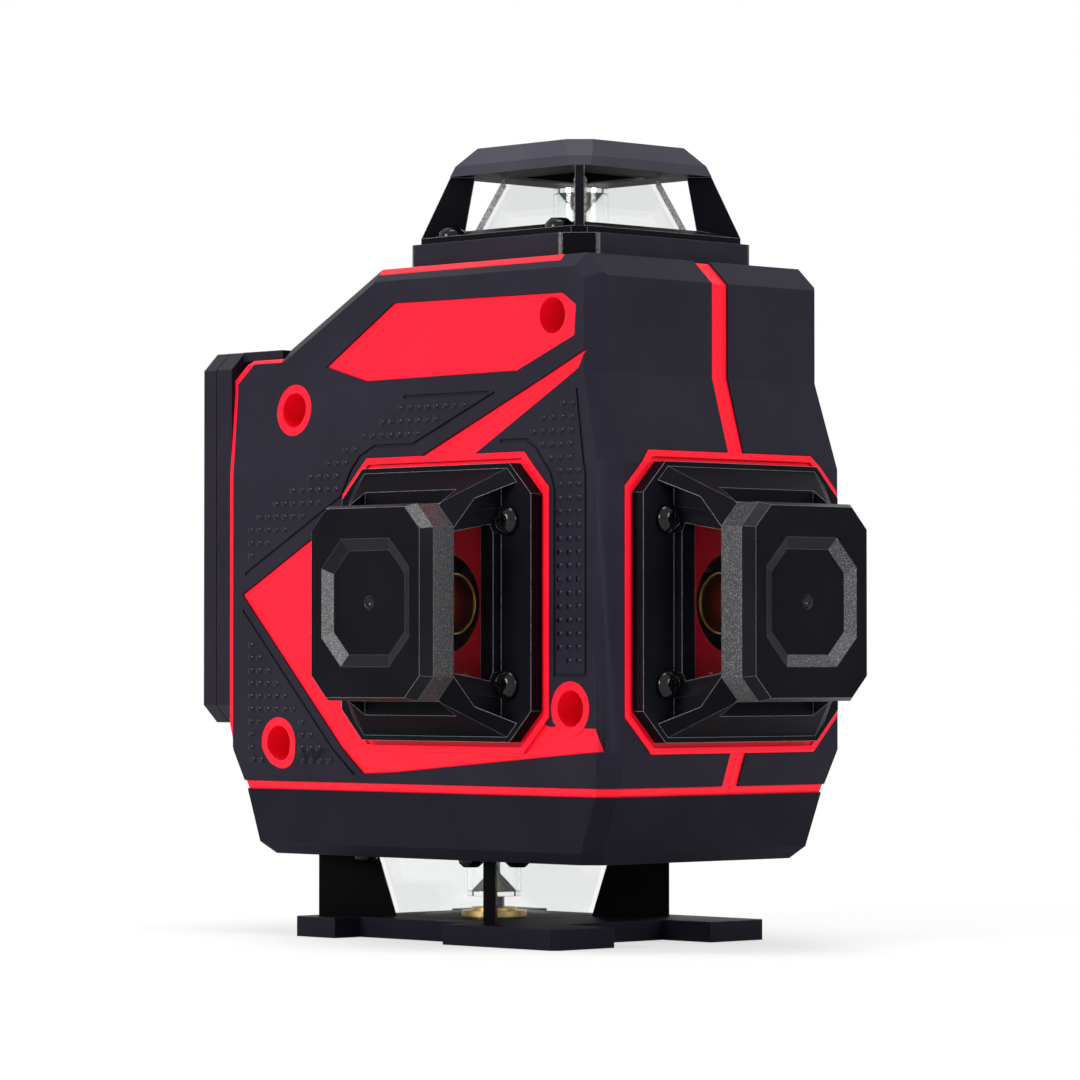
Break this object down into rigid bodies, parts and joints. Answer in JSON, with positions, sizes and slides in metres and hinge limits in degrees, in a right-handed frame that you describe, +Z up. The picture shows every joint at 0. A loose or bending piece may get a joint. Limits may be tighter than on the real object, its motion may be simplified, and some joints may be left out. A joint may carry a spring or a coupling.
{
  "type": "360-degree multi-line laser level",
  "caption": "Self-levelling cross-line laser level with four cone-mirror windows, two-shell rubber-skinned housing, tripod base and slide-out battery pack.",
  "frame": {"origin": "mouth of the tripod thread, on the plane the base stands on", "axes": "+Z up, out of the top window; -Y towards the front window; -X towards the side window"},
  "size_m": [0.0974, 0.143, 0.157],
  "materials": {
    "black": "satin black moulding",
    "hood": "fine-textured black moulding",
    "red": "satin red moulding",
    "rubber": "matt soft-touch skin",
    "glass": "clear",
    "steel": "machined",
    "black_steel": "blackened screw",
    "alloy": "cast",
    "brass": "machined",
    "mirror": "polished",
    "cell": "shrink sleeve",
    "board": "solder mask",
    "key_red": "silicone",
    "key_grey": "silicone",
    "lens": "clear green",
    "magnet": "nickel plated",
    "copper": "copper"
  },
  "bodies": {
    "housing": {"base_plate": "black", "tripod_insert": "brass", "base_screws": "steel", "lower_window_frame": "hood", "lower_window_glass": "glass", "lower_window_screws": "black_steel", "bottom_cover": "black", "left_shell": "red", "right_shell": "red", "left_grip": "rubber", "right_grip": "rubber", "housing_screws": "steel", "back_shell": "black", "dock_contacts": "brass", "top_block": "hood", "top_window_frame": "hood", "top_window_glass": "glass", "top_window_screws": "black_steel", "front_window_frame": "hood", "front_window_glass": "glass", "front_window_screws": "black_steel", "side_window_frame": "hood", "side_window_glass": "glass", "side_window_screws": "black_steel", "keypad_bezel": "red", "indicator_lenses": "lens", "key_board": "board", "chassis": "alloy", "chassis_screws": "steel", "roll_pins": "steel", "damping_magnets": "magnet", "main_board": "board"},
    "gimbal": {"gimbal_ring": "alloy", "roll_bearings": "steel", "pitch_bearings": "steel"},
    "pendulum": {"pendulum_block": "alloy", "pitch_pins": "steel", "top_laser": "brass", "bottom_laser": "brass", "front_laser": "brass", "side_laser": "brass", "cone_glasses": "glass", "top_cone": "mirror", "bottom_cone": "mirror", "front_cone": "mirror", "side_cone": "mirror", "damping_plate": "copper", "balance_weights": "brass"},
    "battery": {"battery_case": "black", "battery_cells": "cell", "battery_terminals": "brass", "charge_port": "steel"},
    "power_key": {"power_key": "key_red"},
    "level_key": {"level_key": "key_grey"},
    "plumb_key": {"plumb_key": "key_grey"},
    "pulse_key": {"pulse_key": "key_grey"},
    "lock_turn": {"lock_knob": "black", "lock_shaft": "steel"},
    "lock_lift": {"lock_plate": "steel", "lock_pad": "rubber"}
  },
  "joints": [
    {"name": "gimbal_roll", "type": "hinge", "parent": "housing", "child": "gimbal", "pos_m": [0, -0.025, 0.113], "axis": [1, 0, 0], "range_deg": [-3, 3]},
    {"name": "pendulum_pitch", "type": "hinge", "parent": "gimbal", "child": "pendulum", "pos_m": [0, -0.025, 0.113], "axis": [0, 1, 0], "range_deg": [-3, 3]},
    {"name": "battery_slide", "type": "slide", "parent": "housing", "child": "battery", "axis": [0, 1, 0], "range_m": [0, 0.025]},
    {"name": "lock_knob_turn", "type": "hinge", "parent": "housing", "child": "lock_turn", "pos_m": [0.0373, -0.025, 0.047], "axis": [-1, 0, 0], "range_deg": [0, 90]},
    {"name": "lock_plate_lift", "type": "slide", "parent": "housing", "child": "lock_lift", "axis": [0, 0, 1], "range_m": [0, 0.0022]},
    {"name": "power_key_press", "type": "slide", "parent": "housing", "child": "power_key", "axis": [0, -0.4716, -0.8818], "range_m": [0, 0.0008], "stiffness_N_per_m": 900, "springref_m": -0.0006},
    {"name": "level_key_press", "type": "slide", "parent": "housing", "child": "level_key", "axis": [0, -0.4716, -0.8818], "range_m": [0, 0.0008], "stiffness_N_per_m": 900, "springref_m": -0.0006},
    {"name": "plumb_key_press", "type": "slide", "parent": "housing", "child": "plumb_key", "axis": [0, -0.4716, -0.8818], "range_m": [0, 0.0008], "stiffness_N_per_m": 900, "springref_m": -0.0006},
    {"name": "pulse_key_press", "type": "slide", "parent": "housing", "child": "pulse_key", "axis": [0, -0.4716, -0.8818], "range_m": [0, 0.0008], "stiffness_N_per_m": 900, "springref_m": -0.0006}
  ],
  "couplings": [
    {"joint": "lock_plate_lift", "follows": "lock_knob_turn", "m_per_rad": 0.0014006}
  ]
}
